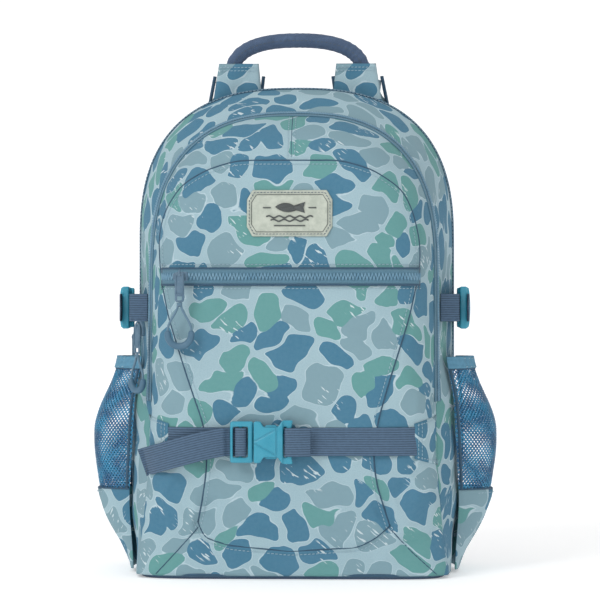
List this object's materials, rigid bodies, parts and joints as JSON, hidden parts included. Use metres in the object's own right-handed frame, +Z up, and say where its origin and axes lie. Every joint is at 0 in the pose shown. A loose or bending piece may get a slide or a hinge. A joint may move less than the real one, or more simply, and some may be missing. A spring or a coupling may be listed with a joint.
{
  "type": "tackle backpack",
  "caption": "Soft fishing backpack with a fold-down front, zipped pockets, mesh side pockets, buckled straps, a grab handle and padded shoulder straps.",
  "frame": {"origin": "centre of the base's underside, on the surface that the bag stands on", "axes": "+Z up; the front with its pocket faces -Y, the wearer's back is at +Y; +X is to the right seen from the front"},
  "size_m": [0.3734, 0.2301, 0.5059],
  "materials": {
    "camo_cloth": "printed polyester cloth, matt",
    "slate_webbing": "woven webbing, matt",
    "buckle_plastic": "moulded, satin",
    "zip_tape": "woven tape with coil teeth",
    "slider_metal": "painted die cast, satin",
    "pull_rubber": "moulded, matt",
    "mesh_net": "open knitted net, slightly shiny",
    "elastic": "elastic band, matt",
    "patch_leather": "embossed imitation leather",
    "lining": "plain lining cloth",
    "board": "cloth over foam board",
    "pad_mesh": "spacer mesh over foam"
  },
  "bodies": {
    "shell": {"back_pad": "pad_mesh", "back_panel": "board", "base_panel": "slate_webbing", "divider": "lining", "flap_fold": "camo_cloth", "front_buckle_body": "buckle_plastic", "ladder_lock_left": "buckle_plastic", "ladder_lock_right": "buckle_plastic", "lower_front": "camo_cloth", "lower_webbing_left": "slate_webbing", "lower_webbing_right": "slate_webbing", "main_gusset": "camo_cloth", "main_zipper_outer_tape": "zip_tape", "mesh_pocket_left": "mesh_net", "mesh_pocket_right": "mesh_net", "pocket_base_left": "camo_cloth", "pocket_base_right": "camo_cloth", "pocket_binding_left": "elastic", "pocket_binding_right": "elastic", "shoulder_strap_left": "camo_cloth", "shoulder_strap_right": "camo_cloth", "side_buckle_left_body": "buckle_plastic", "side_buckle_right_body": "buckle_plastic", "side_webbing_front_left": "slate_webbing", "side_webbing_front_right": "slate_webbing", "side_webbing_rear_left": "slate_webbing", "side_webbing_rear_right": "slate_webbing", "sleeve_gusset": "camo_cloth", "sleeve_zipper_tape": "zip_tape", "strap_left_run": "slate_webbing", "strap_right_run": "slate_webbing", "strap_tab_left": "camo_cloth", "strap_tab_right": "camo_cloth", "strap_yoke_left": "camo_cloth", "strap_yoke_right": "camo_cloth"},
    "flap": {"front_panel": "camo_cloth", "pocket_lining": "lining", "pocket_zipper_tape": "zip_tape", "label_patch": "patch_leather", "main_zipper_inner_tape": "zip_tape"},
    "handle": {"grab_handle": "slate_webbing"},
    "pocket_slider": {"pocket_slider": "slider_metal"},
    "pocket_pull_tab": {"pocket_tab": "slider_metal"},
    "pocket_pull": {"pocket_pull_loop": "pull_rubber"},
    "main_slider": {"main_slider": "slider_metal"},
    "main_pull_tab": {"main_tab": "slider_metal"},
    "main_pull": {"main_pull_loop": "pull_rubber"},
    "sleeve_slider": {"sleeve_slider": "slider_metal"},
    "sleeve_pull_tab": {"sleeve_tab": "slider_metal"},
    "sleeve_pull": {"sleeve_pull_loop": "pull_rubber"},
    "front_buckle_plug": {"front_buckle_frame": "buckle_plastic", "strap_left_tail": "slate_webbing"},
    "front_buckle_upper_arm": {"front_buckle_upper_arm": "buckle_plastic"},
    "front_buckle_lower_arm": {"front_buckle_lower_arm": "buckle_plastic"},
    "side_buckle_left_plug": {"side_buckle_left_frame": "buckle_plastic"},
    "side_buckle_left_upper_arm": {"side_buckle_left_upper_arm": "buckle_plastic"},
    "side_buckle_left_lower_arm": {"side_buckle_left_lower_arm": "buckle_plastic"},
    "side_buckle_right_plug": {"side_buckle_right_frame": "buckle_plastic"},
    "side_buckle_right_upper_arm": {"side_buckle_right_upper_arm": "buckle_plastic"},
    "side_buckle_right_lower_arm": {"side_buckle_right_lower_arm": "buckle_plastic"}
  },
  "joints": [
    {"name": "flap_hinge", "type": "hinge", "parent": "shell", "child": "flap", "pos_m": [0, -0.0478, 0.15], "axis": [1, 0, 0], "range_deg": [0, 40], "deforming": ["flap_fold"]},
    {"name": "pocket_slider_travel", "type": "hinge", "parent": "flap", "child": "pocket_slider", "pos_m": [0, 1.10031, 0.271], "axis": [0, 0, 1], "range_deg": [0, 9.48]},
    {"name": "main_slider_travel", "type": "slide", "parent": "shell", "child": "main_slider", "axis": [0, 0.1464, 0.9892], "range_m": [-0.03, 0.045]},
    {"name": "sleeve_slider_travel", "type": "slide", "parent": "shell", "child": "sleeve_slider", "axis": [0, 0, 1], "range_m": [-0.045, 0.009]},
    {"name": "pocket_tab_swing", "type": "hinge", "parent": "pocket_slider", "child": "pocket_pull_tab", "pos_m": [-0.09938, -0.09796, 0.2735], "axis": [-0.9966, 0.0826, 0], "range_deg": [0, 80]},
    {"name": "pocket_pull_swing", "type": "hinge", "parent": "pocket_pull_tab", "child": "pocket_pull", "pos_m": [-0.09938, -0.09796, 0.2466], "axis": [-0.9966, 0.0826, 0], "range_deg": [0, 60]},
    {"name": "main_tab_swing", "type": "hinge", "parent": "main_slider", "child": "main_pull_tab", "pos_m": [-0.14172, -0.05006, 0.2265], "axis": [-0.7071, 0.7071, 0], "range_deg": [0, 80]},
    {"name": "main_pull_swing", "type": "hinge", "parent": "main_pull_tab", "child": "main_pull", "pos_m": [-0.14172, -0.05006, 0.1996], "axis": [-0.7071, 0.7071, 0], "range_deg": [0, 60]},
    {"name": "sleeve_tab_swing", "type": "hinge", "parent": "sleeve_slider", "child": "sleeve_pull_tab", "pos_m": [-0.1543, 0.051, 0.2145], "axis": [0, 1, 0], "range_deg": [0, 80]},
    {"name": "sleeve_pull_swing", "type": "hinge", "parent": "sleeve_pull_tab", "child": "sleeve_pull", "pos_m": [-0.1543, 0.051, 0.1876], "axis": [0, 1, 0], "range_deg": [0, 60]},
    {"name": "front_buckle_release", "type": "slide", "parent": "shell", "child": "front_buckle_plug", "axis": [-1, 0, 0], "range_m": [0, 0.034], "deforming": ["strap_left_run"]},
    {"name": "front_buckle_upper_arm_press", "type": "hinge", "parent": "front_buckle_plug", "child": "front_buckle_upper_arm", "pos_m": [-0.0324, -0.10147, 0.1342], "axis": [0, 1, 0], "range_deg": [0, 7], "stiffness_Nm_per_rad": 0.4},
    {"name": "front_buckle_lower_arm_press", "type": "hinge", "parent": "front_buckle_plug", "child": "front_buckle_lower_arm", "pos_m": [-0.0324, -0.10147, 0.1132], "axis": [0, -1, 0], "range_deg": [0, 7], "stiffness_Nm_per_rad": 0.4},
    {"name": "side_buckle_left_release", "type": "slide", "parent": "shell", "child": "side_buckle_left_plug", "axis": [0, 1, 0], "range_m": [0, 0.034], "deforming": ["side_webbing_rear_left"]},
    {"name": "side_buckle_left_upper_arm_press", "type": "hinge", "parent": "side_buckle_left_plug", "child": "side_buckle_left_upper_arm", "pos_m": [-0.156, 0.0194, 0.2535], "axis": [1, 0, 0], "range_deg": [0, 7], "stiffness_Nm_per_rad": 0.4},
    {"name": "side_buckle_left_lower_arm_press", "type": "hinge", "parent": "side_buckle_left_plug", "child": "side_buckle_left_lower_arm", "pos_m": [-0.156, 0.0194, 0.2325], "axis": [-1, 0, 0], "range_deg": [0, 7], "stiffness_Nm_per_rad": 0.4},
    {"name": "side_buckle_right_release", "type": "slide", "parent": "shell", "child": "side_buckle_right_plug", "axis": [0, 1, 0], "range_m": [0, 0.034], "deforming": ["side_webbing_rear_right"]},
    {"name": "side_buckle_right_upper_arm_press", "type": "hinge", "parent": "side_buckle_right_plug", "child": "side_buckle_right_upper_arm", "pos_m": [0.156, 0.0194, 0.2535], "axis": [1, 0, 0], "range_deg": [0, 7], "stiffness_Nm_per_rad": 0.4},
    {"name": "side_buckle_right_lower_arm_press", "type": "hinge", "parent": "side_buckle_right_plug", "child": "side_buckle_right_lower_arm", "pos_m": [0.156, 0.0194, 0.2325], "axis": [-1, 0, 0], "range_deg": [0, 7], "stiffness_Nm_per_rad": 0.4},
    {"name": "handle_tilt", "type": "hinge", "parent": "shell", "child": "handle", "pos_m": [0, 0.0845, 0.457], "axis": [-1, 0, 0], "range_deg": [0, 18], "stiffness_Nm_per_rad": 0.5}
  ],
  "couplings": [
    {"joint": "front_buckle_lower_arm_press", "follows": "front_buckle_upper_arm_press", "ratio": 1},
    {"joint": "side_buckle_left_lower_arm_press", "follows": "side_buckle_left_upper_arm_press", "ratio": 1},
    {"joint": "side_buckle_right_lower_arm_press", "follows": "side_buckle_right_upper_arm_press", "ratio": 1}
  ]
}
